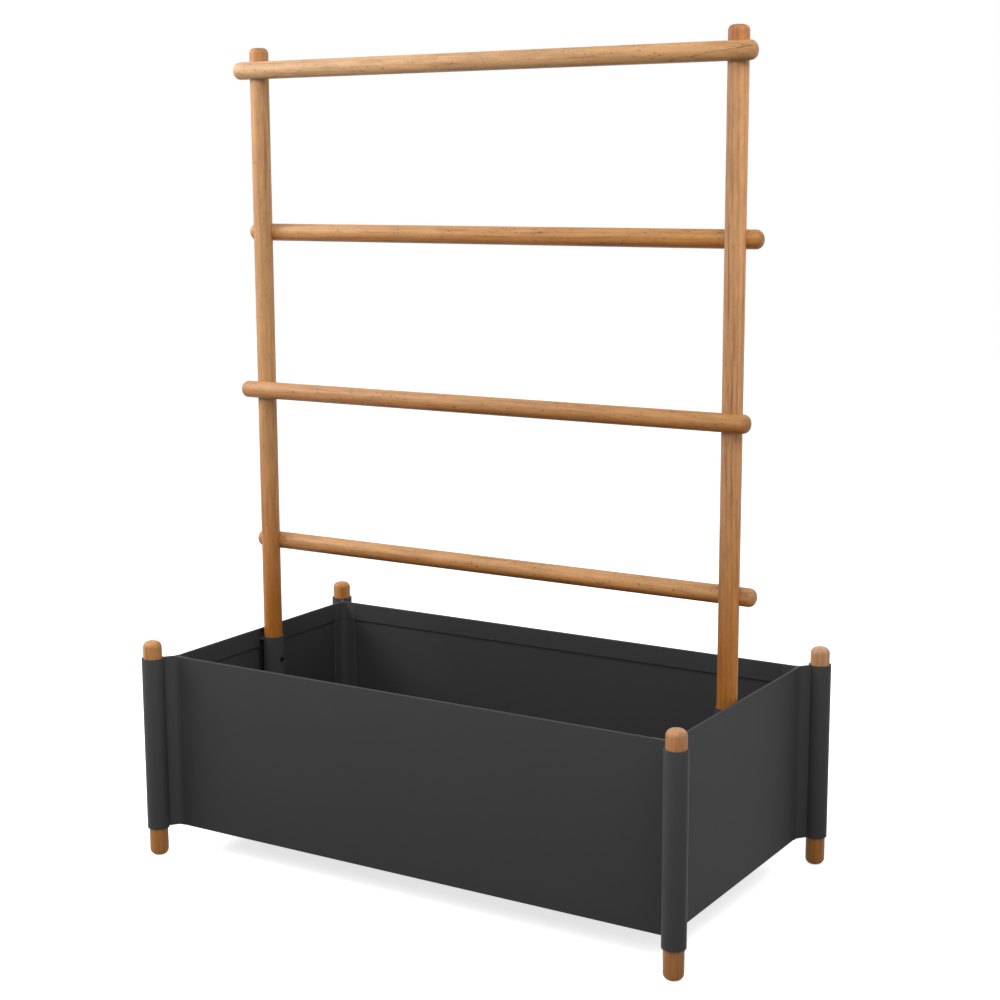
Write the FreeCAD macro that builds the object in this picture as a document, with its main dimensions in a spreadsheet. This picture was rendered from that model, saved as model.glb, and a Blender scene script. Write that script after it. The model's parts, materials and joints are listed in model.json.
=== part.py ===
import FreeCAD, Part
import Sketcher
import os
from FreeCAD import Placement, Rotation, Vector

# A floor planter: four folded aluminium walls between four extruded corner profiles, each gripping
# a round teak post, and a teak trellis whose two posts drop into sockets inside the end walls.
# Millimetres. X runs along the long front wall, Y from front to back, Z up.
# Origin: on the floor, at the middle of the footprint.

SIZES = [
    # planter box
    ("box_length", "956"),            # over the outer faces of the end walls
    ("box_width", "491"),             # over the outer faces of the long walls
    ("wall_height", "303.5"),         # lower edge of the walls to the rim
    ("foot_height", "49.5"),          # floor to the lower edge of the walls
    ("sheet", "2"),                   # wall and floor sheet
    ("rim_width", "5"),               # folded rim, outer face to inner face
    ("rim_depth", "33"),              # how far the rim is folded back down
    ("rim_round", "1.9"),             # outside radius of the bends
    ("base_flange", "20"),            # lower flange, turned in under the floor bearers
    # corner profiles and corner posts
    ("sleeve_outer", "38"),           # round sleeve, outside diameter
    ("sleeve_bore", "34"),            # round sleeve, inside diameter
    ("corner_post_diameter", "32.4"),
    ("finial_height", "30"),          # post above the rim
    ("corner_post_round", "10.5"),    # domed ends of the corner posts
    ("post_out_end", "22"),           # post centre beyond the end wall's outer face
    ("post_out_side", "28.2"),        # post centre beyond the long wall's outer face
    ("web", "5"),                     # neck between sleeve and box corner
    ("neck_round", "8"),              # hollow rounding where the neck meets the walls
    ("profile_lap", "12"),            # full-thickness part of the profile along each wall
    ("profile_leg", "27"),            # leg behind the wall sheet, from the inner corner
    ("profile_leg_sheet", "1.5"),     # thickness of the leg below the rim's folded band
    ("profile_leg_bevel", "1"),       # at the leg's free edge
    ("profile_inner_round", "11"),    # rounded inner corner, flush with the band
    ("grip_rib_width", "1.6"),
    ("grip_rib_gap", "0.05"),         # between a rib's crest and the post
    ("grip_rib_count", "6"),
    # floor
    ("floor_gap", "1"),               # between floor panel and walls
    ("floor_corner_cut", "34"),       # square cut at each corner of the floor panel
    ("bearer_height", "30"),
    ("bearer_flange", "25"),
    ("bearer_pitch", "300"),
    ("bearer_end_gap", "0.5"),        # to the floor panel's lips
    ("drain_diameter", "12"),
    ("drain_pitch_x", "150"),
    ("drain_pitch_y", "220"),
    ("rivet_shank", "4.8"),
    ("rivet_head", "9"),
    ("rivet_head_height", "1.2"),
    ("rivet_tail", "3"),
    ("rivet_pitch", "180"),
    # trellis sockets
    ("socket_outer", "37.2"),
    ("socket_bore", "34"),
    ("socket_below_rim", "13.5"),     # mouth of the socket below the rim
    ("socket_plate", "3"),            # foot plate and hanging tab
    ("socket_foot_length", "72"),
    ("socket_foot_width", "42"),
    ("foot_bolt_pitch", "54"),
    ("tab_width", "35"),
    ("tab_below_mouth", "3"),
    ("tab_side_gap", "0.5"),          # tab to the sides of its notch in the rim
    ("pad", "3"),                     # rubber strip between socket and end wall
    ("pad_gap", "0.3"),
    ("clamp_below_mouth", "42.5"),    # clamping screw below the mouth
    ("insert_outer", "8"),            # threaded insert in the socket wall
    ("insert_length", "8"),
    ("insert_flange", "9.4"),
    ("insert_flange_height", "0.8"),
    ("clamp_screw_length", "8"),
    ("clamp_screw_gap", "0.3"),       # screw tip to the floor of the post's groove
    ("groove_side_gap", "0.5"),       # insert to the sides of the groove
    # fasteners
    ("thread", "6"),
    ("thread_gap", "0.1"),            # on the diameter of a thread in its hole
    ("bolt_head", "10.5"),
    ("bolt_head_top", "6.6"),
    ("bolt_head_height", "3.3"),
    ("bolt_length", "12"),
    ("hex_socket", "4"),              # across flats
    ("hex_socket_depth", "2"),
    ("nut_flats", "10"),
    ("nut_height", "5"),
    # trellis
    ("trellis_post_diameter", "33"),
    ("trellis_post_round", "9"),
    ("trellis_foot_round", "1.5"),
    ("post_above_rail", "39"),        # top of the post above the top rail's centre
    ("rail_diameter", "30"),
    ("rail_overhang", "37.6"),        # rail beyond the post centre
    ("rail_round", "11"),
    ("bottom_rail_height", "516.4"),
    ("rail_pitch", "277.5"),
    ("halving_depth", "6.9"),         # cut out of post and of rail where they cross
    ("halving_gap", "0.1"),
    ("rail_screw_head", "8.4"),
    ("rail_screw_head_height", "2.6"),
    ("rail_screw_shank", "4.4"),
    ("rail_screw_length", "38"),
    ("rail_screw_sunk", "1"),         # head below the wood
    ("rail_screw_gap", "0.1"),
    ("slot_width", "1.2"),            # driver slot
    ("slot_depth", "1"),
]

doc = FreeCAD.newDocument("planter")
sheet = doc.addObject("Spreadsheet::Sheet", "sizes")
for row, (alias, number) in enumerate(SIZES, start=1):
    sheet.set(f"A{row}", number)
    sheet.setAlias(f"A{row}", alias)
doc.recompute()

# Expressions shared by several pieces, as text for setExpression.
HALF_LENGTH = "(sizes.box_length / 2)"
HALF_WIDTH = "(sizes.box_width / 2)"
RIM_TOP = "(sizes.foot_height + sizes.wall_height)"
CORNER_X = "(sizes.box_length / 2 + sizes.post_out_end)"
CORNER_Y = "(sizes.box_width / 2 + sizes.post_out_side)"
CORNER_REACH = ("sqrt(sizes.post_out_end * sizes.post_out_end"
                " + sizes.post_out_side * sizes.post_out_side)")
BEARER_FOOT = "(sizes.foot_height + sizes.sheet)"
FLOOR_UNDER = f"({BEARER_FOOT} + sizes.bearer_height)"
FLOOR_TOP = f"({FLOOR_UNDER} + sizes.sheet)"
FLOOR_LENGTH = "(sizes.box_length - 2 * (sizes.sheet + sizes.floor_gap))"
FLOOR_WIDTH = "(sizes.box_width - 2 * (sizes.sheet + sizes.floor_gap))"
BASE_HOLE_Y = f"({HALF_WIDTH} - sizes.sheet - sizes.base_flange / 2)"
BEARER_HOLE = "(sizes.sheet + (sizes.bearer_flange - sizes.sheet) / 2)"
SOCKET_X = (f"({HALF_LENGTH} - sizes.sheet - sizes.pad - sizes.pad_gap"
            " - sizes.socket_outer / 2)")
SOCKET_TOP = f"({RIM_TOP} - sizes.socket_below_rim)"
TAB_TOP = f"({SOCKET_TOP} - sizes.tab_below_mouth)"
CLAMP_Z = f"({SOCKET_TOP} - sizes.clamp_below_mouth)"
POST_FOOT = f"({FLOOR_TOP} + sizes.socket_plate)"
TOP_RAIL_HEIGHT = "(sizes.bottom_rail_height + 3 * sizes.rail_pitch)"
POST_TOP = f"({TOP_RAIL_HEIGHT} + sizes.post_above_rail)"
SEAT_Y = "(sizes.trellis_post_diameter / 2 - sizes.halving_depth)"
RAIL_Y = f"({SEAT_Y} + sizes.rail_diameter / 2 - sizes.halving_depth)"
INSERT_TIP = "(sizes.socket_outer / 2 - sizes.insert_length)"
CUT_MARGIN = "1"     # how far a cutting tool stands past the surface it cuts
CUT_SPAN = "(sizes.trellis_post_diameter + sizes.rail_diameter)"    # of the tools for the halvings
ACROSS_X = Vector(1, 0, 0)
ACROSS_Y = Vector(0, 1, 0)


def value(expression):
    """Number that an expression has with the present sizes."""
    return float(sheet.evalExpression(expression))


def bind(item, **expressions):
    """Bind properties to expressions; x, y and z stand for the placement's base."""
    for name, expression in expressions.items():
        path = f"Placement.Base.{name}" if name in ("x", "y", "z") else name
        item.setExpression(path, expression)
    return item


def turned(item, axis, degrees):
    item.Placement = Placement(Vector(0, 0, 0), Rotation(axis, degrees))
    return item


def box(label, length, width, height, x, y, z):
    item = doc.addObject("Part::Box", label)
    return bind(item, Length=length, Width=width, Height=height, x=x, y=y, z=z)


def rod(label, radius, height, x, y, z, axis=None, degrees=0):
    item = doc.addObject("Part::Cylinder", label)
    if axis is not None:
        turned(item, axis, degrees)
    return bind(item, Radius=radius, Height=height, x=x, y=y, z=z)


def cone(label, radius_low, radius_high, height, x, y, z, axis=None, degrees=0):
    item = doc.addObject("Part::Cone", label)
    if axis is not None:
        turned(item, axis, degrees)
    return bind(item, Radius1=radius_low, Radius2=radius_high, Height=height, x=x, y=y, z=z)


def fuse(label, shapes):
    item = doc.addObject("Part::MultiFuse", label)
    item.Shapes = shapes
    return item


def cut(label, base, tools):
    item = doc.addObject("Part::Cut", label)
    item.Base = base
    item.Tool = tools[0] if len(tools) == 1 else fuse(label + "_tools", tools)
    return item


def common(label, first, second):
    item = doc.addObject("Part::Common", label)
    item.Base = first
    item.Tool = second
    return item


def group(label, pieces):
    item = doc.addObject("Part::Compound", label)
    item.Links = pieces
    return item


def mirrored(label, source, normal):
    item = doc.addObject("Part::Mirroring", label)
    item.Source = source
    item.Base = Vector(0, 0, 0)
    item.Normal = normal
    return item


def new_body(label, x="0", y="0", z="0", axis=None, degrees=0):
    body = doc.addObject("PartDesign::Body", label)
    if axis is not None:
        turned(body, axis, degrees)
    return bind(body, x=x, y=y, z=z)


def new_sketch(body, label, plane):
    sketch = body.newObject("Sketcher::SketchObject", label)
    for feature in body.Origin.OriginFeatures:
        if feature.Role == plane:
            sketch.AttachmentSupport = [(feature, "")]
    sketch.MapMode = "FlatFace"
    return sketch


def outline(sketch, corners):
    """Closed outline of straight lines; each corner is a pair of expressions."""
    points = [Vector(value(x), value(y), 0) for x, y in corners]
    first = sketch.GeometryCount
    count = len(points)
    for index in range(count):
        sketch.addGeometry(Part.LineSegment(points[index], points[(index + 1) % count]), False)
    for index in range(count):
        line = first + index
        following = first + (index + 1) % count
        sketch.addConstraint(Sketcher.Constraint("Coincident", line, 2, following, 1))
    for index, (x, y) in enumerate(corners):
        line = first + index
        across = sketch.addConstraint(
            Sketcher.Constraint("DistanceX", -1, 1, line, 1, points[index].x))
        sketch.setExpression(f"Constraints[{across}]", x)
        upward = sketch.addConstraint(
            Sketcher.Constraint("DistanceY", -1, 1, line, 1, points[index].y))
        sketch.setExpression(f"Constraints[{upward}]", y)


def circle(sketch, radius):
    """Circle about the sketch's origin."""
    number = sketch.addGeometry(
        Part.Circle(Vector(0, 0, 0), Vector(0, 0, 1), value(radius)), False)
    sketch.addConstraint(Sketcher.Constraint("Coincident", number, 3, -1, 1))
    size = sketch.addConstraint(Sketcher.Constraint("Radius", number, value(radius)))
    sketch.setExpression(f"Constraints[{size}]", radius)


def pad(body, label, sketch, length, midplane=False):
    item = body.newObject("PartDesign::Pad", label)
    item.Profile = sketch
    item.Midplane = midplane
    bind(item, Length=length)
    doc.recompute()
    return item


def edges_at(shape, direction, places):
    """Names of the straight edges along direction that pass through one of the places."""
    names = []
    for number, edge in enumerate(shape.Edges, start=1):
        if not isinstance(edge.Curve, Part.Line):
            continue
        if abs(edge.Curve.Direction.dot(direction)) < 0.999:
            continue
        for place in places:
            offset = edge.Vertexes[0].Point - place
            if (offset - direction * offset.dot(direction)).Length < 0.01:
                names.append(f"Edge{number}")
    return names


def round_edges(body, label, base, names, radius):
    item = body.newObject("PartDesign::Fillet", label)
    item.Base = (base, names)
    bind(item, Radius=radius)
    doc.recompute()
    return item


def end_edges(shape, height):
    """Names of the round edges at that height."""
    names = []
    for number, edge in enumerate(shape.Edges, start=1):
        if isinstance(edge.Curve, Part.Circle) and abs(edge.Curve.Center.z - height) < 0.01:
            names.append(f"Edge{number}")
    return names


def dowel(label, diameter, length, low_round, high_round, place, axis=None, degrees=0):
    """Round wooden bar with rounded ends; its own axis is the body's Z."""
    body = new_body(label, *place, axis=axis, degrees=degrees)
    bar = body.newObject("PartDesign::AdditiveCylinder", label + "_bar")
    bind(bar, Radius=f"{diameter} / 2", Height=length)
    doc.recompute()
    bar = round_edges(body, label + "_low_end", bar, end_edges(bar.Shape, 0), low_round)
    high = end_edges(bar.Shape, value(length))
    round_edges(body, label + "_high_end", bar, high, high_round)
    return body


def corner_profile():
    """Extruded corner: sleeve, neck and two legs that the wall sheets lie on.

    The legs are milled thinner below the rim's band, so that the band's step runs round the corner.
    """
    body = new_body("front_left_profile", f"-{CORNER_X}", f"-{CORNER_Y}", "sizes.foot_height")
    sketch = new_sketch(body, "profile_section", "XY_Plane")
    end, side = "sizes.post_out_end", "sizes.post_out_side"
    cosine = f"({end} / {CORNER_REACH})"
    sine = f"({side} / {CORNER_REACH})"
    half = "(sizes.web / 2)"
    start = "((sizes.sleeve_outer + sizes.sleeve_bore) / 4)"
    rim, leg = "sizes.rim_width", "(sizes.rim_width + sizes.profile_leg)"
    skin, lap = "sizes.sheet", "sizes.profile_lap"
    outline(sketch, [
        (f"{start} * {cosine} + {half} * {sine}", f"{start} * {sine} - {half} * {cosine}"),
        (f"{end} + {half} / {sine}", side),
        (f"{end} + {lap}", side),
        (f"{end} + {lap}", f"{side} + {skin}"),
        (f"{end} + {leg}", f"{side} + {skin}"),
        (f"{end} + {leg}", f"{side} + {rim}"),
        (f"{end} + {rim}", f"{side} + {rim}"),
        (f"{end} + {rim}", f"{side} + {leg}"),
        (f"{end} + {skin}", f"{side} + {leg}"),
        (f"{end} + {skin}", f"{side} + {lap}"),
        (end, f"{side} + {lap}"),
        (end, f"{side} + {half} / {cosine}"),
        (f"{start} * {cosine} - {half} * {sine}", f"{start} * {sine} + {half} * {cosine}"),
    ])
    neck = pad(body, "neck_and_legs", sketch, "sizes.wall_height")
    upright = Vector(0, 0, 1)
    hollows = [Vector(value(f"{end} + {half} / {sine}"), value(side), 0),
               Vector(value(end), value(f"{side} + {half} / {cosine}"), 0)]
    neck = round_edges(body, "neck_hollows", neck,
                       edges_at(neck.Shape, upright, hollows), "sizes.neck_round")
    corner = [Vector(value(f"{end} + {rim}"), value(f"{side} + {rim}"), 0)]
    round_edges(body, "inner_corner", neck,
                edges_at(neck.Shape, upright, corner), "sizes.profile_inner_round")
    inside = "(sizes.sheet + sizes.profile_leg_sheet)"
    edge, bevel = f"({inside} - sizes.profile_leg_bevel)", f"({leg} - sizes.profile_leg_bevel)"
    far = f"({leg} + {CUT_MARGIN})"
    milling = new_sketch(body, "leg_milling_outline", "XY_Plane")
    outline(milling, [
        (f"{end} + {inside}", f"{side} + {inside}"), (f"{end} + {bevel}", f"{side} + {inside}"),
        (f"{end} + {leg}", f"{side} + {edge}"), (f"{end} + {far}", f"{side} + {edge}"),
        (f"{end} + {far}", f"{side} + {far}"), (f"{end} + {edge}", f"{side} + {far}"),
        (f"{end} + {edge}", f"{side} + {leg}"), (f"{end} + {inside}", f"{side} + {bevel}")])
    milled = body.newObject("PartDesign::Pocket", "leg_milling")
    milled.Profile = milling
    milled.Reversed = True
    bind(milled, Length="sizes.wall_height - sizes.rim_depth")
    doc.recompute()
    corner = [Vector(value(f"{end} + {inside}"), value(f"{side} + {inside}"), 0)]
    round_edges(body, "milled_corner", milled, edges_at(milled.Shape, upright, corner),
                f"sizes.profile_inner_round + sizes.rim_width - {inside}")
    ring = new_sketch(body, "sleeve_circle", "XY_Plane")
    circle(ring, "sizes.sleeve_outer / 2")
    pad(body, "sleeve", ring, "sizes.wall_height")
    bore = new_sketch(body, "bore_circle", "XY_Plane")
    circle(bore, "sizes.sleeve_bore / 2")
    pocket = body.newObject("PartDesign::Pocket", "sleeve_bore")
    pocket.Profile = bore
    pocket.Type = "ThroughAll"
    pocket.Midplane = True
    doc.recompute()
    rib = new_sketch(body, "rib_section", "XY_Plane")
    crest = "(sizes.corner_post_diameter / 2 + sizes.grip_rib_gap)"
    root = f"((sizes.sleeve_outer + sizes.sleeve_bore) / 4)"
    outline(rib, [(crest, "-sizes.grip_rib_width / 2"), (root, "-sizes.grip_rib_width / 2"),
                  (root, "sizes.grip_rib_width / 2"), (crest, "sizes.grip_rib_width / 2")])
    first_rib = pad(body, "grip_rib", rib, "sizes.wall_height")
    ribs = body.newObject("PartDesign::PolarPattern", "grip_ribs")
    ribs.Originals = [first_rib]
    for feature in body.Origin.OriginFeatures:
        if feature.Role == "Z_Axis":
            ribs.Axis = (feature, [""])
    ribs.Angle = 360
    bind(ribs, Occurrences="sizes.grip_rib_count")
    body.Tip = ribs
    doc.recompute()
    return body


def wall(label, body_label, length, x, y, degrees):
    """Folded wall. The body's X points into the box, its Y runs along the wall."""
    body = new_body(body_label, x, y, "sizes.foot_height", Vector(0, 0, 1), degrees)
    top, skin, rim = "sizes.wall_height", "sizes.sheet", "sizes.rim_width"
    flange = "(sizes.sheet + sizes.base_flange)"
    plain = new_sketch(body, body_label + "_plain", "XZ_Plane")
    outline(plain, [("0", "0"), (skin, "0"), (skin, top), ("0", top)])
    panel = pad(body, body_label + "_panel", plain, f"{length} - 2 * sizes.profile_lap", True)
    folded = new_sketch(body, body_label + "_folds", "XZ_Plane")
    outline(folded, [
        ("0", "0"), (flange, "0"), (flange, skin), (skin, skin),
        (skin, f"{top} - {skin}"), (f"{rim} - {skin}", f"{top} - {skin}"),
        (f"{rim} - {skin}", f"{top} - sizes.rim_depth"), (rim, f"{top} - sizes.rim_depth"),
        (rim, top), ("0", top)])
    clear = "(sizes.rim_width + sizes.profile_leg)"
    panel = pad(body, body_label + "_folded", folded, f"{length} - 2 * {clear}", True)
    along = Vector(0, 1, 0)
    bends = [Vector(0, 0, 0), Vector(0, 0, value(top)), Vector(value(rim), 0, value(top))]
    round_edges(body, body_label + "_bends", panel,
                edges_at(panel.Shape, along, bends), "sizes.rim_round")
    return body


def bolt(label, x, y, z, upward):
    """Button-head bolt; z is the bearing face, the shank points up or down from it."""
    turn = 0 if upward else 180
    away = "-" if upward else "+"
    across = Vector(1, 0, 0)
    shank = rod(label + "_shank", "sizes.thread / 2", "sizes.bolt_length", x, y, z, across, turn)
    head = cone(label + "_head", "sizes.bolt_head_top / 2", "sizes.bolt_head / 2",
                "sizes.bolt_head_height", x, y, f"{z} {away} sizes.bolt_head_height", across, turn)
    recess = doc.addObject("Part::Prism", label + "_hex")
    recess.Polygon = 6
    turned(recess, across, turn)
    bind(recess, Circumradius="sizes.hex_socket / sqrt(3)",
         Height=f"sizes.hex_socket_depth + {CUT_MARGIN}", x=x, y=y,
         z=f"{z} {away} (sizes.bolt_head_height + {CUT_MARGIN})")
    return cut(label, fuse(label + "_solid", [shank, head]), [recess])


def nut(label, x, y, z):
    """Hexagon nut standing on z."""
    blank = doc.addObject("Part::Prism", label + "_blank")
    blank.Polygon = 6
    bind(blank, Circumradius="sizes.nut_flats / sqrt(3)", Height="sizes.nut_height", x=x, y=y, z=z)
    hole = rod(label + "_hole", "(sizes.thread + sizes.thread_gap) / 2",
               f"sizes.nut_height + 2 * {CUT_MARGIN}", x, y, f"{z} - {CUT_MARGIN}")
    return cut(label, blank, [hole])


def bolt_hole(label, x, y, z, depth):
    """Clearance hole from z upward."""
    return rod(label, "(sizes.thread + sizes.thread_gap) / 2", f"{depth} + 2 * {CUT_MARGIN}",
               x, y, f"{z} - {CUT_MARGIN}")


def wood_screw(label, x, y, z):
    """Countersunk screw that points to the front from its head at y."""
    shank = rod(label + "_shank", "sizes.rail_screw_shank / 2", "sizes.rail_screw_length",
                x, y, z, ACROSS_X, 90)
    head = cone(label + "_head", "sizes.rail_screw_head / 2", "sizes.rail_screw_shank / 2",
                "sizes.rail_screw_head_height", x, y, z, ACROSS_X, 90)
    slot = box(label + "_slot", "2 * sizes.rail_screw_head", f"sizes.slot_depth + {CUT_MARGIN}",
               "sizes.slot_width", f"{x} - sizes.rail_screw_head", f"{y} - sizes.slot_depth",
               f"{z} - sizes.slot_width / 2")
    return cut(label + "_screw", fuse(label + "_screw_solid", [shank, head]), [slot])


def screw_hole(label, x, y, z):
    """Hole for a wood screw whose head is at y: shank, countersink and the way in from behind."""
    gap = "sizes.rail_screw_gap"
    return [
        rod(label + "_drill", f"sizes.rail_screw_shank / 2 + {gap}",
            f"sizes.rail_screw_length + {gap}", x, y, z, ACROSS_X, 90),
        cone(label + "_sink", f"sizes.rail_screw_head / 2 + {gap}",
             f"sizes.rail_screw_shank / 2 + {gap}", "sizes.rail_screw_head_height",
             x, y, z, ACROSS_X, 90),
        rod(label + "_entry", f"sizes.rail_screw_head / 2 + {gap}", "4 * sizes.rail_screw_sunk",
            x, f"{y} + 4 * sizes.rail_screw_sunk", z, ACROSS_X, 90)]


pieces = []      # every finished piece; its label names its node


def keep(item, label):
    item.Label = label
    pieces.append(item)
    return item


# Corner profiles and corner posts
front_left = corner_profile()
front_right = mirrored("front_right", front_left, ACROSS_X)
back_left = mirrored("back_left", front_left, ACROSS_Y)
back_right = mirrored("back_right", front_right, ACROSS_Y)
keep(front_left, "front_left_profile")
keep(front_right, "front_right_profile")
keep(back_left, "back_left_profile")
keep(back_right, "back_right_profile")
for depth_name, depth_sign in (("front", "-"), ("back", "")):
    for side_name, side_sign in (("left", "-"), ("right", "")):
        name = f"{depth_name}_{side_name}_post"
        post = dowel(name + "_body", "sizes.corner_post_diameter",
                     f"{RIM_TOP} + sizes.finial_height",
                     "sizes.corner_post_round", "sizes.corner_post_round",
                     (f"{side_sign}{CORNER_X}", f"{depth_sign}{CORNER_Y}", "0"))
        keep(post, name)

# Walls
BEARER_X = {"left": "-sizes.bearer_pitch", "centre": "0", "right": "sizes.bearer_pitch"}
BOLT_X = {side: f"({x} + {BEARER_HOLE} - sizes.bearer_flange / 2)" for side, x in BEARER_X.items()}
front_sheet = wall("front_wall", "front_sheet", "sizes.box_length", "0", f"-{HALF_WIDTH}", 90)
flange_holes = [bolt_hole(f"front_flange_hole_{side}", x, f"-{BASE_HOLE_Y}",
                          "sizes.foot_height", "sizes.sheet") for side, x in BOLT_X.items()]
front_wall = cut("front_wall_cut", front_sheet, flange_holes)
keep(front_wall, "front_wall")
keep(mirrored("back_wall_mirror", front_wall, ACROSS_Y), "back_wall")
left_sheet = wall("left_wall", "left_sheet", "sizes.box_width", f"-{HALF_LENGTH}", "0", 0)
notch_width = "(sizes.tab_width + 2 * sizes.tab_side_gap)"
rim_notch = box("rim_notch", f"sizes.rim_width - sizes.sheet + {CUT_MARGIN}", notch_width,
                f"sizes.rim_depth - sizes.sheet + {CUT_MARGIN}",
                f"-{HALF_LENGTH} + sizes.sheet", f"-{notch_width} / 2",
                f"{RIM_TOP} - sizes.rim_depth - {CUT_MARGIN}")
left_wall = cut("left_wall_cut", left_sheet, [rim_notch])
keep(left_wall, "left_wall")
keep(mirrored("right_wall_mirror", left_wall, ACROSS_X), "right_wall")

# Floor bearers: channels on their side, standing on the lower flanges of the long walls
bearer_bolts, bearer_nuts, floor_rivets, rivet_holes = [], [], [], []
for side, x in BEARER_X.items():
    bearer = new_body(f"bearer_{side}_body", f"{x} - sizes.bearer_flange / 2", "0", BEARER_FOOT)
    section = new_sketch(bearer, f"bearer_{side}_section", "XZ_Plane")
    outline(section, [
        ("0", "0"), ("sizes.bearer_flange", "0"), ("sizes.bearer_flange", "sizes.sheet"),
        ("sizes.sheet", "sizes.sheet"), ("sizes.sheet", "sizes.bearer_height - sizes.sheet"),
        ("sizes.bearer_flange", "sizes.bearer_height - sizes.sheet"),
        ("sizes.bearer_flange", "sizes.bearer_height"), ("0", "sizes.bearer_height")])
    pad(bearer, f"bearer_{side}_pad", section,
        f"{FLOOR_WIDTH} - 2 * (sizes.sheet + sizes.bearer_end_gap)", True)
    holes = []
    for depth, y in (("front", f"-{BASE_HOLE_Y}"), ("back", BASE_HOLE_Y)):
        name = f"{side}_{depth}"
        holes.append(bolt_hole(f"bearer_hole_{name}", BOLT_X[side], y, BEARER_FOOT, "sizes.sheet"))
        bearer_bolts.append(bolt(f"bearer_bolt_{name}", BOLT_X[side], y, "sizes.foot_height", True))
        bearer_nuts.append(nut(f"bearer_nut_{name}", BOLT_X[side], y,
                               f"{BEARER_FOOT} + sizes.sheet"))
    for number, y in enumerate(("-sizes.rivet_pitch", "0", "sizes.rivet_pitch")):
        name = f"{side}_{number}"
        shank_height = "2 * sizes.sheet"
        shank_foot = f"{FLOOR_TOP} - {shank_height}"
        gap_radius = "(sizes.rivet_shank + sizes.thread_gap) / 2"
        shank = rod(f"rivet_shank_{name}", "sizes.rivet_shank / 2", shank_height,
                    BOLT_X[side], y, shank_foot)
        head = cone(f"rivet_head_{name}", "sizes.rivet_head / 2", "sizes.rivet_head / 3",
                    "sizes.rivet_head_height", BOLT_X[side], y, FLOOR_TOP)
        tail = cone(f"rivet_tail_{name}", "sizes.rivet_head / 4", "sizes.rivet_head / 2.6",
                    "sizes.rivet_tail", BOLT_X[side], y, f"{shank_foot} - sizes.rivet_tail")
        floor_rivets.append(fuse(f"rivet_{name}", [shank, head, tail]))
        holes.append(rod(f"bearer_rivet_hole_{name}", gap_radius, "4 * sizes.sheet",
                         BOLT_X[side], y, f"{shank_foot} - sizes.sheet"))
        rivet_holes.append(rod(f"floor_rivet_hole_{name}", gap_radius, "4 * sizes.sheet",
                               BOLT_X[side], y, f"{shank_foot} - sizes.sheet"))
    keep(cut(f"bearer_{side}_cut", bearer, holes), f"floor_bearer_{side}")
keep(group("bearer_bolt_set", bearer_bolts), "bearer_bolts")
keep(group("bearer_nut_set", bearer_nuts), "bearer_nuts")
keep(group("rivet_set", floor_rivets), "floor_rivets")

# Floor panel: a plate with turned-down lips that stand on the walls' lower flanges
floor_block = box("floor_block", FLOOR_LENGTH, FLOOR_WIDTH, "sizes.bearer_height + sizes.sheet",
                  f"-{FLOOR_LENGTH} / 2", f"-{FLOOR_WIDTH} / 2", BEARER_FOOT)
floor_hollow = box("floor_hollow", f"{FLOOR_LENGTH} - 2 * sizes.sheet",
                   f"{FLOOR_WIDTH} - 2 * sizes.sheet", f"sizes.bearer_height + {CUT_MARGIN}",
                   f"-{FLOOR_LENGTH} / 2 + sizes.sheet", f"-{FLOOR_WIDTH} / 2 + sizes.sheet",
                   f"{BEARER_FOOT} - {CUT_MARGIN}")
floor_cuts = [floor_hollow] + rivet_holes
for x_sign in (-1, 1):
    for y_sign in (-1, 1):
        square = f"(sizes.floor_corner_cut + {CUT_MARGIN})"
        x = f"{x_sign} * ({FLOOR_LENGTH} / 2 + {CUT_MARGIN} - {square} / 2) - {square} / 2"
        y = f"{y_sign} * ({FLOOR_WIDTH} / 2 + {CUT_MARGIN} - {square} / 2) - {square} / 2"
        floor_cuts.append(box(f"floor_corner_{x_sign + 1}{y_sign + 1}", square, square,
                              f"sizes.bearer_height + sizes.sheet + 2 * {CUT_MARGIN}",
                              x, y, f"{BEARER_FOOT} - {CUT_MARGIN}"))
for column in (-2.5, -1.5, -0.5, 0.5, 1.5, 2.5):
    for line in (-0.5, 0.5):
        floor_cuts.append(rod("drain_hole", "sizes.drain_diameter / 2",
                              f"sizes.sheet + 2 * {CUT_MARGIN}",
                              f"{column} * sizes.drain_pitch_x", f"{line} * sizes.drain_pitch_y",
                              f"{FLOOR_UNDER} - {CUT_MARGIN}"))

# Trellis sockets: a tube with a foot plate on the floor and a tab hung in the rim's notch
mouth_x = f"-{SOCKET_X}"
tube_height = f"({SOCKET_TOP} - {FLOOR_TOP})"
tube = rod("socket_tube", "sizes.socket_outer / 2", tube_height, mouth_x, "0", FLOOR_TOP)
foot = box("socket_foot", "sizes.socket_foot_width", "sizes.socket_foot_length",
           "sizes.socket_plate", f"{mouth_x} - sizes.socket_outer / 2",
           "-sizes.socket_foot_length / 2", FLOOR_TOP)
tab = box("socket_tab", "sizes.pad + sizes.pad_gap + sizes.socket_outer / 2", "sizes.tab_width",
          "sizes.socket_plate", f"-{HALF_LENGTH} + sizes.sheet", "-sizes.tab_width / 2",
          f"{TAB_TOP} - sizes.socket_plate")
bore = rod("socket_bore", "sizes.socket_bore / 2", f"{SOCKET_TOP} - {POST_FOOT} + {CUT_MARGIN}",
           mouth_x, "0", POST_FOOT)
insert_hole = rod("insert_hole", "(sizes.insert_outer + sizes.thread_gap) / 2",
                  "sizes.socket_outer", mouth_x, "0", CLAMP_Z, Vector(0, 1, 0), 90)
socket_cuts = [bore, insert_hole]
foot_bolts, foot_nuts = [], []
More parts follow.
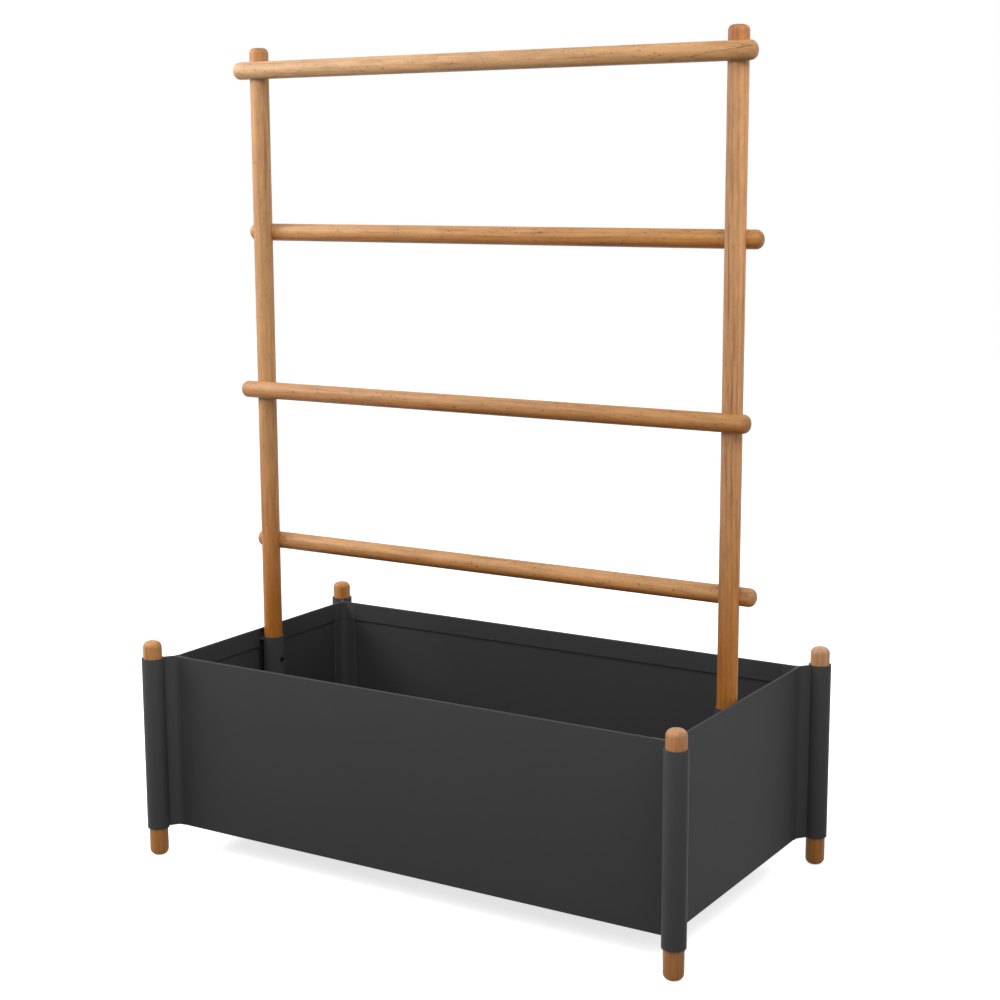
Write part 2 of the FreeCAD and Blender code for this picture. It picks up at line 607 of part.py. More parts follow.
for number, y_sign in enumerate((-1, 1)):
    y = f"{y_sign} * sizes.foot_bolt_pitch / 2"
    socket_cuts.append(bolt_hole(f"foot_hole_{number}", mouth_x, y, FLOOR_TOP,
                                 "sizes.socket_plate"))
    for end_name, x in (("left", mouth_x), ("right", SOCKET_X)):
        name = f"{end_name}_{number}"
        floor_cuts.append(bolt_hole(f"floor_bolt_hole_{name}", x, y, FLOOR_UNDER, "sizes.sheet"))
        foot_bolts.append(bolt(f"foot_bolt_{name}", x, y, POST_FOOT, False))
        foot_nuts.append(nut(f"foot_nut_{name}", x, y, f"{FLOOR_UNDER} - sizes.nut_height"))
left_socket = cut("left_socket_cut", fuse("socket_solid", [tube, foot, tab]), socket_cuts)
keep(left_socket, "left_trellis_socket")
keep(mirrored("right_socket_mirror", left_socket, ACROSS_X), "right_trellis_socket")
keep(group("foot_bolt_set", foot_bolts), "socket_foot_bolts")
keep(group("foot_nut_set", foot_nuts), "socket_foot_nuts")
keep(cut("floor_panel_cut", floor_block, floor_cuts), "floor_panel")

# Rubber strips between the sockets and the end walls
left_pad = box("socket_strip", "sizes.pad", "sizes.tab_width",
               f"{TAB_TOP} - sizes.socket_plate - {FLOOR_TOP}", f"-{HALF_LENGTH} + sizes.sheet",
               "-sizes.tab_width / 2", FLOOR_TOP)
keep(left_pad, "left_socket_pad")
keep(mirrored("right_pad_mirror", left_pad, ACROSS_X), "right_socket_pad")

# Threaded inserts in the sockets, and the clamping screws in them
insert_body = rod("insert_body", "sizes.insert_outer / 2",
                  "sizes.insert_length + sizes.insert_flange_height",
                  f"{mouth_x} + {INSERT_TIP}", "0", CLAMP_Z, ACROSS_Y, 90)
insert_flange = rod("insert_flange", "sizes.insert_flange / 2", "sizes.insert_flange_height",
                    f"{mouth_x} + sizes.socket_outer / 2", "0", CLAMP_Z, ACROSS_Y, 90)
insert_bore = rod("insert_bore", "(sizes.thread + sizes.thread_gap) / 2",
                  "2 * sizes.insert_length", f"{mouth_x} + {INSERT_TIP} - {CUT_MARGIN}", "0",
                  CLAMP_Z, ACROSS_Y, 90)
left_insert = cut("left_insert", fuse("insert_solid", [insert_body, insert_flange]), [insert_bore])
keep(group("insert_set", [left_insert, mirrored("right_insert", left_insert, ACROSS_X)]),
     "clamp_inserts")
screw_tip = f"({INSERT_TIP} - sizes.clamp_screw_gap)"
screw_body = rod("clamp_screw_body", "sizes.thread / 2", "sizes.clamp_screw_length",
                 f"{mouth_x} + {screw_tip}", "0", CLAMP_Z, ACROSS_Y, 90)
screw_hex = doc.addObject("Part::Prism", "clamp_screw_hex")
screw_hex.Polygon = 6
turned(screw_hex, ACROSS_Y, 90)
bind(screw_hex, Circumradius="sizes.hex_socket / sqrt(3) * 0.75",
     Height=f"sizes.hex_socket_depth + {CUT_MARGIN}",
     x=f"{mouth_x} + {screw_tip} + sizes.clamp_screw_length - sizes.hex_socket_depth",
     y="0", z=CLAMP_Z)
left_clamp = cut("left_clamp", screw_body, [screw_hex])
keep(group("clamp_set", [left_clamp, mirrored("right_clamp", left_clamp, ACROSS_X)]),
     "clamp_screws")

# Trellis: rails and posts halved into each other, the rails in turn before and behind the posts
RAILS = [("bottom_rail", 0, 1), ("lower_rail", 1, -1), ("upper_rail", 2, 1), ("top_rail", 3, -1)]
rail_length = f"(2 * {SOCKET_X} + 2 * sizes.rail_overhang)"
post_length = f"({POST_TOP} - {POST_FOOT})"
post_bar = dowel("trellis_bar", "sizes.trellis_post_diameter", post_length,
                 "sizes.trellis_foot_round", "sizes.trellis_post_round", (mouth_x, "0", POST_FOOT))
groove_width = "(sizes.insert_outer + 2 * sizes.groove_side_gap)"
groove_floor = f"({screw_tip} - sizes.clamp_screw_gap)"
groove_slot = box("groove_slot", "sizes.trellis_post_diameter", groove_width,
                  f"{CLAMP_Z} - {POST_FOOT} + {CUT_MARGIN}", f"{mouth_x} + {groove_floor}",
                  f"-{groove_width} / 2", f"{POST_FOOT} - {CUT_MARGIN}")
groove_end = rod("groove_end", f"{groove_width} / 2", "sizes.trellis_post_diameter",
                 f"{mouth_x} + {groove_floor}", "0", CLAMP_Z, ACROSS_Y, 90)
post_cuts = [groove_slot, groove_end]
rail_screws = []
for name, step, side in RAILS:
    height = f"(sizes.bottom_rail_height + {step} * sizes.rail_pitch)"
    rail_y = f"({side} * {RAIL_Y})"
    rail_bar = dowel(name + "_bar", "sizes.rail_diameter", rail_length, "sizes.rail_round",
                     "sizes.rail_round", (f"-{rail_length} / 2", rail_y, height),
                     ACROSS_Y, 90)
    # the post's half of the joint is the rail's round, down to the seat
    if side > 0:
        post_half = f"({SEAT_Y} - sizes.halving_gap / 2)"
        rail_half = f"({SEAT_Y} + sizes.halving_gap / 2 - {CUT_SPAN})"
        wood_back = f"({RAIL_Y} + sizes.rail_diameter / 2)"
    else:
        post_half = f"(sizes.halving_gap / 2 - {SEAT_Y} - {CUT_SPAN})"
        rail_half = f"(-{SEAT_Y} - sizes.halving_gap / 2)"
        wood_back = "(sizes.trellis_post_diameter / 2)"
    rail_round = rod(name + "_round", "sizes.rail_diameter / 2 + sizes.halving_gap", CUT_SPAN,
                     f"{mouth_x} - {CUT_SPAN} / 2", rail_y, height, ACROSS_Y, 90)
    half_space = box(name + "_half", f"2 * {CUT_SPAN}", CUT_SPAN, f"2 * {CUT_SPAN}",
                     f"{mouth_x} - {CUT_SPAN}", post_half, f"{height} - {CUT_SPAN}")
    post_cuts.append(common(name + "_seat", rail_round, half_space))
    # the rail's half is the post's round, at both posts, with the screw from behind
    rail_cuts = []
    screw_head_y = f"({wood_back} - sizes.rail_screw_sunk)"
    for end_name, x in (("left", mouth_x), ("right", SOCKET_X)):
        tag = f"{name}_{end_name}"
        post_round = rod(tag + "_round", "sizes.trellis_post_diameter / 2 + sizes.halving_gap",
                         CUT_SPAN, x, "0", f"{height} - {CUT_SPAN} / 2")
        half_space = box(tag + "_half", CUT_SPAN, CUT_SPAN, f"2 * {CUT_SPAN}",
                         f"{x} - {CUT_SPAN} / 2", rail_half, f"{height} - {CUT_SPAN}")
        rail_cuts.append(common(tag + "_seat", post_round, half_space))
        rail_screws.append(wood_screw(tag, x, screw_head_y, height))
        drilled = screw_hole(tag, x, screw_head_y, height)
        rail_cuts.extend(drilled)
        if end_name == "left":
            post_cuts.extend(drilled)
    keep(cut(name + "_cut", rail_bar, rail_cuts), name)
left_post = cut("left_trellis_cut", post_bar, post_cuts)
keep(left_post, "left_trellis_post")
keep(mirrored("right_trellis_mirror", left_post, ACROSS_X), "right_trellis_post")
keep(group("rail_screw_set", rail_screws), "rail_screws")

doc.recompute()
for item in doc.Objects:
    for fault in ("Invalid", "Error"):
        if fault in item.State:
            raise RuntimeError(f"{item.Name} is {fault}")
os.makedirs("parts", exist_ok=True)
for piece in pieces:
    shape = piece.Shape
    if shape.isNull() or not shape.isValid() or not shape.Solids:
        raise RuntimeError(f"{piece.Label} has no valid shape")
    print(f"{piece.Label}: {len(shape.Solids)} solids, {shape.Volume / 1000:.2f} cm3")
    shape.exportStep(f"parts/{piece.Label}.step")
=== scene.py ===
import json
import math
import bmesh
import bpy
from mathutils import Matrix, Vector


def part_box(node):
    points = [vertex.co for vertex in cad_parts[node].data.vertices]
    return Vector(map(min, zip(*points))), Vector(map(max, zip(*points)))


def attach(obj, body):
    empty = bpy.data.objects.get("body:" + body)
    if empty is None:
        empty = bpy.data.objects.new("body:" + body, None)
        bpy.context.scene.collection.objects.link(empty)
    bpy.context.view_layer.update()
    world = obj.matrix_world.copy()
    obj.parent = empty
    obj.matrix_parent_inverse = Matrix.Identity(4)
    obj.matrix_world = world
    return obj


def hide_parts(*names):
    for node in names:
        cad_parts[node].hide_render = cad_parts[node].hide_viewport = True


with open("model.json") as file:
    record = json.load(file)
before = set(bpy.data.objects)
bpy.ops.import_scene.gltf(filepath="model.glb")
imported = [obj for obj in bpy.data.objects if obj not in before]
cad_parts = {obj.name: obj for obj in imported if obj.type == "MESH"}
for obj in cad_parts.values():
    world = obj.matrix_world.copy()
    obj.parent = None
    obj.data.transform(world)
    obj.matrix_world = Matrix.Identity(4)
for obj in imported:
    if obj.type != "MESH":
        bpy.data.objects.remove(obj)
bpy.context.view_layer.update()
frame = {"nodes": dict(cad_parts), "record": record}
mm = 0.001


def toLinear(hexColour):
    channels = [int(hexColour[i:i + 2], 16) / 255 for i in (0, 2, 4)]
    return [c / 12.92 if c <= 0.04045 else ((c + 0.055) / 1.055) ** 2.4 for c in channels] + [1]


def addNode(tree, kind, settings={}, inputs={}):
    node = tree.nodes.new(kind)
    for name, value in settings.items():
        setattr(node, name, value)
    for name, value in inputs.items():
        if isinstance(value, bpy.types.NodeSocket):
            tree.links.new(value, node.inputs[name])
        else:
            node.inputs[name].default_value = value
    return node


def newMaterial(name):
    material = bpy.data.materials.new(name)
    material.use_nodes = True
    material.node_tree.nodes.clear()
    return material


def finishMaterial(material, inputs):
    tree = material.node_tree
    shader = addNode(tree, "ShaderNodeBsdfPrincipled", {}, inputs)
    addNode(tree, "ShaderNodeOutputMaterial", {}, {"Surface": shader.outputs[0]})
    return material


coat = {
    "colour": "3E3E3F",
    "shade": "3B3B3C",        # slow drift of the colour over a panel
    "heights": (50, 353),     # mm; foot of the walls and rim
    "tones": (0.86, 1.13),    # painted light: paler towards the rim and darker at the foot, standing in for light from above
    "driftSize": 220,         # mm
    "peelSize": 1.6,          # mm; the real orange peel is finer and wouldn't show
    "peelHeight": 0.05,       # mm
    "roughness": 0.55,
    "unevenness": 0.06,       # of the roughness, to either side
    "gloss": 0.06,
    "profilePaintedLight": 1.27,      # painted light: a paler copy of the coat on the extrusions, standing in for light on the sleeves and inner corners
}


def powderCoat(name, paintedLift=1.0):
    # polyester powder coat on aluminium: an even dark grey skin, matt, with a faint orange peel
    material = newMaterial(name)
    tree = material.node_tree
    place = addNode(tree, "ShaderNodeTexCoord")
    drift = addNode(tree, "ShaderNodeTexNoise", {},
                    {"Vector": place.outputs["Object"], "Scale": 1 / (coat["driftSize"] * mm),
                     "Detail": 2})
    colour = addNode(tree, "ShaderNodeMix", {"data_type": "RGBA"},
                     {"Factor": drift.outputs["Fac"]})
    colour.inputs[6].default_value = toLinear(coat["shade"])
    colour.inputs[7].default_value = toLinear(coat["colour"])
    # painted light: the colour is scaled by height, paler at the rim and darker at the foot, standing in
    # for light from above
    height = addNode(tree, "ShaderNodeSeparateXYZ", {}, {0: place.outputs["Object"]})
    low, high = (level * mm for level in coat["heights"])
    tone = addNode(tree, "ShaderNodeMapRange", {},
                   {"Value": height.outputs["Z"], "From Min": low, "From Max": high,
                    "To Min": coat["tones"][0] * paintedLift, "To Max": coat["tones"][1] * paintedLift})
    heightShaded = addNode(tree, "ShaderNodeVectorMath", {"operation": "SCALE"},
                   {0: colour.outputs[2], "Scale": tone.outputs[0]})
    peel = addNode(tree, "ShaderNodeTexNoise", {},
                   {"Vector": place.outputs["Object"], "Scale": 1 / (coat["peelSize"] * mm),
                    "Detail": 2, "Roughness": 0.6})
    dull = addNode(tree, "ShaderNodeMapRange", {},
                   {"Value": peel.outputs["Fac"], "To Min": coat["roughness"] - coat["unevenness"],
                    "To Max": coat["roughness"] + coat["unevenness"]})
    bump = addNode(tree, "ShaderNodeBump", {},
                   {"Height": peel.outputs["Fac"], "Strength": 0.5,
                    "Distance": coat["peelHeight"] * mm})
    return finishMaterial(material, {
        "Base Color": heightShaded.outputs[0], "Roughness": dull.outputs[0],
        "Normal": bump.outputs[0], "Specular IOR Level": coat["gloss"]})


finish = {
    "smoother": 0.08,     # of the roughness, down and up
    "rougher": 0.1,
    "shade": 0.8,         # painted shade: the colour is taken down to this share in the hollows of the fine lines
    "lineHeight": 0.02,   # mm
}


def fineLines(name, hexColour, roughness, metallic=1.0, lineSize=0.5):
    # small parts: the fine unevenness that a tool, a die or a mould leaves, and a broken gloss
    material = newMaterial(name)
    tree = material.node_tree
    place = addNode(tree, "ShaderNodeTexCoord")
    lines = addNode(tree, "ShaderNodeTexNoise", {},
                    {"Vector": place.outputs["Object"], "Scale": 1 / (lineSize * mm), "Detail": 3})
    dull = addNode(tree, "ShaderNodeMapRange", {},
                   {"Value": lines.outputs["Fac"], "To Min": roughness - finish["smoother"],
                    "To Max": roughness + finish["rougher"]})
    # painted shade: the colour darkens where the fine lines dip, following the same noise as the bump
    shade = addNode(tree, "ShaderNodeMix", {"data_type": "RGBA"}, {"Factor": lines.outputs["Fac"]})
    shade.inputs[6].default_value = [c * finish["shade"] for c in toLinear(hexColour)[:3]] + [1]
    shade.inputs[7].default_value = toLinear(hexColour)
    bump = addNode(tree, "ShaderNodeBump", {},
                   {"Height": lines.outputs["Fac"], "Strength": 0.3,
                    "Distance": finish["lineHeight"] * mm})
    return finishMaterial(material, {
        "Base Color": shade.outputs[2], "Metallic": metallic, "Roughness": dull.outputs[0],
        "Normal": bump.outputs[0]})


dressings = {
    "powder_coated_aluminium": powderCoat("matt_powder_coat_on_sheet"),
    "stainless_steel": fineLines("turned_stainless_steel", "B9B8B4", 0.34),
    "mill_aluminium": fineLines("drawn_aluminium_of_the_rivets", "C4C5C6", 0.42),
    # black oxide: a thin dark skin, half metal, soft gloss
    "black_steel": fineLines("black_oxide_steel", "1B1B1C", 0.4, 0.5),
    # EPDM strip: dead black with a slight bloom
    "black_rubber": fineLines("extruded_epdm_rubber", "141414", 0.72, 0.0, 1.2),
}

# painted light: the extrusions get a paler copy of the same coat
paintedLightProfileCoat = powderCoat("matt_powder_coat_with_painted_light_on_extrusions", coat["profilePaintedLight"])

veinForm = {
    "waveSize": (9, 26),     # mm across and along
    "wander": 3.0,           # mm to either side
    "core": 0.3,             # mm from its middle
    "edge": 1.0,
    "fadeIn": 25,            # mm
    "fadeOut": 8,
}

teak = {
    "late": "A8703C",          # tint of the dark edge of each growth ring
    "lateStrength": 0.3,
    "ringSpacing": 8.5,        # mm
    "ringPeak": 0.8,           # place of the dark edge within a ring
    "ringWander": 17.0,        # mm, over a stretch of bar
    "fibreSize": (1.5, 34),    # mm across and along the grain
    "fibreLight": 1.06,
    "fibreDark": 0.87,
    "mottleSize": (8, 44),     # mm; cloudy chatoyance where the grain dips in and out
    "mottleLight": 1.08,
    "mottleDark": 0.85,
    "streakSize": (4.5, 130),  # mm; mineral streaks, broader and browner than the fibres
    "streak": "9C6238",
    "fleckSize": (1.9, 6.5),   # mm; pores, drawn three times too wide so that they show
    "fleck": "7A3F20",
    "patchSize": (34, 230),    # mm; slow change of tone
    "patchLight": 1.06,
    "patchDark": 0.9,
    "undersideShadeTint": "FFE6BC",     # painted shade: faces turned down get a deeper orange, standing in for the shade under the bars
    "endShade": 1.05,          # sanded end grain
    "tipStart": 44,            # mm below the top of a trellis post
    "tipFull": 30,
    "poreDepth": 0.12,         # mm
    "paintedLightReach": 12,            # mm; painted light: one side of a post made paler and the opposite side darker, standing in for light falling on that side
    "paintedLightTones": (0.84, 1.38),
    "roughness": 0.46,
    "gloss": 0.3,
}


def oiledTeak(name, look):
    # plain-sawn teak, turned, sanded and oiled: straight fibres, long flames where the growth rings
    # run out of the bar, brown mineral streaks and short dark pores
    material = newMaterial(name)
    tree = material.node_tree
    place = addNode(tree, "ShaderNodeTexCoord")
    # the bar's own space in millimetres: Z runs along it from its foot or its left end
    bar = addNode(tree, "ShaderNodeMapping", {"vector_type": "TEXTURE"},
                  {"Vector": place.outputs["Object"], "Location": look["start"],
                   "Rotation": look["turn"], "Scale": (mm, mm, mm)}).outputs[0]

    def grainNoise(size, seed, detail, roughness=0.5):
        across, along = size
        space = addNode(tree, "ShaderNodeMapping", {},
                        {"Vector": bar, "Scale": (1 / across, 1 / across, 1 / along)})
        return addNode(tree, "ShaderNodeTexNoise", {"noise_dimensions": "4D"},
                       {"Vector": space.outputs[0], "W": look["seed"] + seed, "Scale": 1.0,
                        "Detail": detail, "Roughness": roughness})

    def remapped(source, low, high, toLow=0.0, toHigh=1.0):
        return addNode(tree, "ShaderNodeMapRange", {},
                       {"Value": source, "From Min": low, "From Max": high,
                        "To Min": toLow, "To Max": toHigh}).outputs[0]

    def tinted(colour, mask, tint):
        mix = addNode(tree, "ShaderNodeMix", {"data_type": "RGBA", "blend_type": "MULTIPLY"},
                      {"Factor": mask})
        tree.links.new(colour, mix.inputs[6])
        mix.inputs[7].default_value = tint
        return mix.outputs[2]

    def scaled(colour, factor):
        return addNode(tree, "ShaderNodeVectorMath", {"operation": "SCALE"},
                       {0: colour, "Scale": factor}).outputs[0]

    def veinMask(vein):
        # a thin dark line that climbs across a rail between two points: mm along, mm up
        (fromAlong, fromUp), (toAlong, toUp) = vein
        slope = (toUp - fromUp) / (toAlong - fromAlong)
        wave = grainNoise(veinForm["waveSize"], 15, 2)
        bend = remapped(wave.outputs["Fac"], 0.2, 0.8, -veinForm["wander"], veinForm["wander"])
        line = addNode(tree, "ShaderNodeMath", {"operation": "MULTIPLY_ADD"},
                       {0: along, 1: slope, 2: bend})
        off = addNode(tree, "ShaderNodeMath", {"operation": "ADD"},
                      {0: line.outputs[0], 1: parts.outputs["X"]})
        off = addNode(tree, "ShaderNodeMath", {"operation": "ADD"},
                      {0: off.outputs[0], 1: fromUp - slope * fromAlong})
        near = addNode(tree, "ShaderNodeMath", {"operation": "ABSOLUTE"}, {0: off.outputs[0]})
        broken = remapped(mottle.outputs["Fac"], 0.35, 0.6, 0.15, 0.8)
        thin = addNode(tree, "ShaderNodeMapRange", {},
                       {"Value": near.outputs[0], "From Min": veinForm["core"],
                        "From Max": veinForm["edge"], "To Min": broken, "To Max": 0.0}).outputs[0]
        begun = remapped(along, fromAlong, fromAlong + veinForm["fadeIn"])
        ended = remapped(along, toAlong, toAlong - veinForm["fadeOut"])
        mask = addNode(tree, "ShaderNodeMath", {"operation": "MULTIPLY"}, {0: thin, 1: begun})
        mask = addNode(tree, "ShaderNodeMath", {"operation": "MULTIPLY"},
                       {0: mask.outputs[0], 1: ended})
        return mask.outputs[0]

    parts = addNode(tree, "ShaderNodeSeparateXYZ", {}, {0: bar})
    along = parts.outputs["Z"]
    begin, end = (part * look["length"] / mm for part in look.get("turnAt", (0, 1)))
    share = remapped(along, begin, end)
    body = addNode(tree, "ShaderNodeMix", {"data_type": "RGBA"}, {"Factor": share})
    body.inputs[6].default_value = toLinear(look["tones"][0])
    body.inputs[7].default_value = toLinear(look["tones"][1])
    colour = body.outputs[2]

    # painted light: one side of the bar made paler and the other darker, standing in for light falling from
    # that side
    if "paintedLightSide" in look:
        side = addNode(tree, "ShaderNodeVectorMath", {"operation": "DOT_PRODUCT"},
                       {0: bar, 1: look["paintedLightSide"]}).outputs["Value"]
        colour = scaled(colour, remapped(side, -teak["paintedLightReach"], teak["paintedLightReach"],
                                         *teak["paintedLightTones"]))

    patch = grainNoise(teak["patchSize"], 0, 2)
    colour = scaled(colour, remapped(patch.outputs["Fac"], 0.3, 0.65, teak["patchLight"],
                                     teak["patchDark"]))

    mottle = grainNoise(teak["mottleSize"], 9, 3, 0.6)
    colour = scaled(colour, remapped(mottle.outputs["Fac"], 0.32, 0.68, teak["mottleLight"],
                                     teak["mottleDark"]))

    wander = addNode(tree, "ShaderNodeVectorMath", {"operation": "MULTIPLY_ADD"},
                     {0: patch.outputs["Color"], 1: (teak["ringWander"],) * 3, 2: bar})
    heart = addNode(tree, "ShaderNodeMapping", {},
                    {"Vector": wander.outputs[0], "Location": (*look["heart"], 0),
                     "Rotation": look["lean"]})
    flat = addNode(tree, "ShaderNodeVectorMath", {"operation": "MULTIPLY"},
                   {0: heart.outputs[0], 1: (1, 1, 0)})
    reach = addNode(tree, "ShaderNodeVectorMath", {"operation": "LENGTH"}, {0: flat.outputs[0]})
    count = addNode(tree, "ShaderNodeMath", {"operation": "DIVIDE"},
                    {0: reach.outputs["Value"], 1: teak["ringSpacing"]})
    saw = addNode(tree, "ShaderNodeMath", {"operation": "FRACT"}, {0: count.outputs[0]})
    ring = addNode(tree, "ShaderNodeValToRGB", {}, {"Fac": saw.outputs[0]})
    stops = ring.color_ramp.elements
    stops[0].color = (0.15, 0.15, 0.15, 1)
    stops[1].position = teak["ringPeak"]
    for position, grey in ((0.4, 0.1), (1.0, 0.15)):
        stops.new(position).color = (grey, grey, grey, 1)
    figure = grainNoise(teak["streakSize"], 5, 2)
    strength = remapped(figure.outputs["Fac"], 0.35, 0.7, 0.25, 1.0)
    ringMask = addNode(tree, "ShaderNodeMath", {"operation": "MULTIPLY"},
                       {0: ring.outputs[0], 1: strength})
    ringMask = addNode(tree, "ShaderNodeMath", {"operation": "MULTIPLY"},
                       {0: ringMask.outputs[0], 1: teak["lateStrength"] * look.get("figure", 1)})
    colour = tinted(colour, ringMask.outputs[0], toLinear(teak["late"]))

    streak = remapped(figure.outputs["Fac"], 0.56, 0.72, 0, look.get("streaks", 0.35))
    colour = tinted(colour, streak, toLinear(teak["streak"]))

    fibre = grainNoise(teak["fibreSize"], 3, 4, 0.62)
    colour = scaled(colour, remapped(fibre.outputs["Fac"], 0.3, 0.7, teak["fibreLight"],
                                     teak["fibreDark"]))
    fleck = grainNoise(teak["fleckSize"], 7, 1)
    cluster = remapped(mottle.outputs["Fac"], 0.42, 0.56, 0.12, look.get("flecks", 0.5))
    fleckMask = addNode(tree, "ShaderNodeMapRange", {},
                        {"Value": fleck.outputs["Fac"], "From Min": 0.63, "From Max": 0.7,
                         "To Min": 0.0, "To Max": cluster}).outputs[0]
    colour = tinted(colour, fleckMask, toLinear(teak["fleck"]))
    if "tip" in look:
        last = look["length"] / mm
        weathered = remapped(along, last - teak["tipStart"], last - teak["tipFull"])
        colour = tinted(colour, weathered, toLinear(look["tip"]))
    if "vein" in look:
        colour = tinted(colour, veinMask(look["vein"]), toLinear(teak["fleck"]))

    # painted shade: faces turned downwards are tinted a deeper orange, standing in for the shade under the
    # bars
    level = addNode(tree, "ShaderNodeSeparateXYZ", {}, {0: place.outputs["Normal"]}).outputs["Z"]
    colour = tinted(colour, remapped(level, 0.35, -0.5, 0, look.get("undersideShadeStrength", 1)),
                    toLinear(teak["undersideShadeTint"]))
    normal = addNode(tree, "ShaderNodeVectorMath", {"operation": "DOT_PRODUCT"},
                     {0: place.outputs["Normal"], 1: look["axis"]})
    facing = addNode(tree, "ShaderNodeMath", {"operation": "ABSOLUTE"}, {0: normal.outputs["Value"]})
    colour = scaled(colour, remapped(facing.outputs[0], 0.4, 0.85, 1,
                                     look.get("end", teak["endShade"])))

    dull = remapped(fibre.outputs["Fac"], 0.2, 0.8, teak["roughness"] - 0.08,
                    teak["roughness"] + 0.12)
    height = addNode(tree, "ShaderNodeMath", {"operation": "SUBTRACT"},
                     {0: fibre.outputs["Fac"], 1: fleckMask})
    bump = addNode(tree, "ShaderNodeBump", {},
                   {"Height": height.outputs[0], "Strength": 0.3,
                    "Distance": teak["poreDepth"] * mm})
    return finishMaterial(material, {"Base Color": colour, "Roughness": dull,
                                     "Normal": bump.outputs[0], "Specular IOR Level": teak["gloss"]})


def turnedBarTree():
    # a turned bar: a flat tip, a rounded shoulder and a straight stretch
    tree = bpy.data.node_groups.new("turnedBar", "GeometryNodeTree")
    face = tree.interface
    face.new_socket("Geometry", in_out="OUTPUT", socket_type="NodeSocketGeometry")
    for name, kind, value in (("Length", "Float", 0.3), ("Radius", "Float", 0.016),
                              ("Foot Rounding", "Float", 0.01), ("Top Rounding", "Float", 0.01),
                              ("Sides", "Int", 72), ("Shoulder Rings", "Int", 12),
                              ("Straight Rings", "Int", 24), ("Material", "Material", None)):
        socket = face.new_socket(name, in_out="INPUT", socket_type="NodeSocket" + kind)
        if value is not None:
            socket.default_value = value
    given = addNode(tree, "NodeGroupInput").outputs
    shoulders = addNode(tree, "ShaderNodeMath", {"operation": "MULTIPLY"},
                        {0: given["Shoulder Rings"], 1: 2.0})
    rings = addNode(tree, "ShaderNodeMath", {"operation": "ADD"},
                    {0: shoulders.outputs[0], 1: given["Straight Rings"]})
    blank = addNode(tree, "GeometryNodeMeshCylinder", {"fill_type": "TRIANGLE_FAN"},
                    {"Vertices": given["Sides"], "Side Segments": rings.outputs[0],
                     "Radius": 1.0, "Depth": 1.0})
    here = addNode(tree, "GeometryNodeInputPosition")
    split = addNode(tree, "ShaderNodeSeparateXYZ", {}, {0: here.outputs[0]})
    up = addNode(tree, "ShaderNodeMath", {"operation": "ADD"}, {0: split.outputs["Z"], 1: 0.5})
    step = addNode(tree, "ShaderNodeMath", {"operation": "MULTIPLY"},
                   {0: up.outputs[0], 1: rings.outputs[0]})
    left = addNode(tree, "ShaderNodeMath", {"operation": "SUBTRACT"},
                   {0: rings.outputs[0], 1: step.outputs[0]})
    quarter = math.pi / 2
    foot = addNode(tree, "ShaderNodeMapRange", {},
                   {"Value": step.outputs[0], "From Max": given["Shoulder Rings"],
                    "To Max": quarter})
    top = addNode(tree, "ShaderNodeMapRange", {},
                  {"Value": left.outputs[0], "From Max": given["Shoulder Rings"],
                   "To Max": quarter})
    past = addNode(tree, "ShaderNodeMath", {"operation": "SUBTRACT"},
                   {0: step.outputs[0], 1: given["Shoulder Rings"]})
    straight = addNode(tree, "ShaderNodeMapRange", {},
                       {"Value": past.outputs[0], "From Max": given["Straight Rings"]})
    radius = given["Radius"]
    for turn, rounding in ((foot, "Foot Rounding"), (top, "Top Rounding")):
        sine = addNode(tree, "ShaderNodeMath", {"operation": "SINE"}, {0: turn.outputs[0]})
        short = addNode(tree, "ShaderNodeMath", {"operation": "SUBTRACT"},
                        {0: 1.0, 1: sine.outputs[0]})
        inward = addNode(tree, "ShaderNodeMath", {"operation": "MULTIPLY"},
                         {0: short.outputs[0], 1: given[rounding]})
        radius = addNode(tree, "ShaderNodeMath", {"operation": "SUBTRACT"},
                         {0: radius, 1: inward.outputs[0]}).outputs[0]
    footCosine = addNode(tree, "ShaderNodeMath", {"operation": "COSINE"}, {0: foot.outputs[0]})
    footRise = addNode(tree, "ShaderNodeMath", {"operation": "SUBTRACT"},
                       {0: 1.0, 1: footCosine.outputs[0]})
    topCosine = addNode(tree, "ShaderNodeMath", {"operation": "COSINE"}, {0: top.outputs[0]})
    middle = addNode(tree, "ShaderNodeMath", {"operation": "SUBTRACT"},
                     {0: given["Length"], 1: given["Foot Rounding"]})
    middle = addNode(tree, "ShaderNodeMath", {"operation": "SUBTRACT"},
                     {0: middle.outputs[0], 1: given["Top Rounding"]})
    rise = addNode(tree, "ShaderNodeMath", {"operation": "MULTIPLY"},
                   {0: middle.outputs[0], 1: straight.outputs[0]})
    rise = addNode(tree, "ShaderNodeMath", {"operation": "MULTIPLY_ADD"},
                   {0: footRise.outputs[0], 1: given["Foot Rounding"], 2: rise.outputs[0]})
    rise = addNode(tree, "ShaderNodeMath", {"operation": "MULTIPLY_ADD"},
                   {0: topCosine.outputs[0], 1: given["Top Rounding"], 2: rise.outputs[0]})
    across = addNode(tree, "ShaderNodeVectorMath", {"operation": "SCALE"},
                     {0: here.outputs[0], "Scale": radius})
    flat = addNode(tree, "ShaderNodeSeparateXYZ", {}, {0: across.outputs[0]})
    spot = addNode(tree, "ShaderNodeCombineXYZ", {},
                   {0: flat.outputs["X"], 1: flat.outputs["Y"], 2: rise.outputs[0]})
    shaped = addNode(tree, "GeometryNodeSetPosition", {},
                     {"Geometry": blank.outputs["Mesh"], "Position": spot.outputs[0]})
    real = addNode(tree, "GeometryNodeRealizeInstances", {}, {0: shaped.outputs[0]})
    dressed = addNode(tree, "GeometryNodeSetMaterial", {},
                      {"Geometry": real.outputs[0], "Material": given["Material"]})
    addNode(tree, "NodeGroupOutput", {}, {0: dressed.outputs[0]})
    return tree


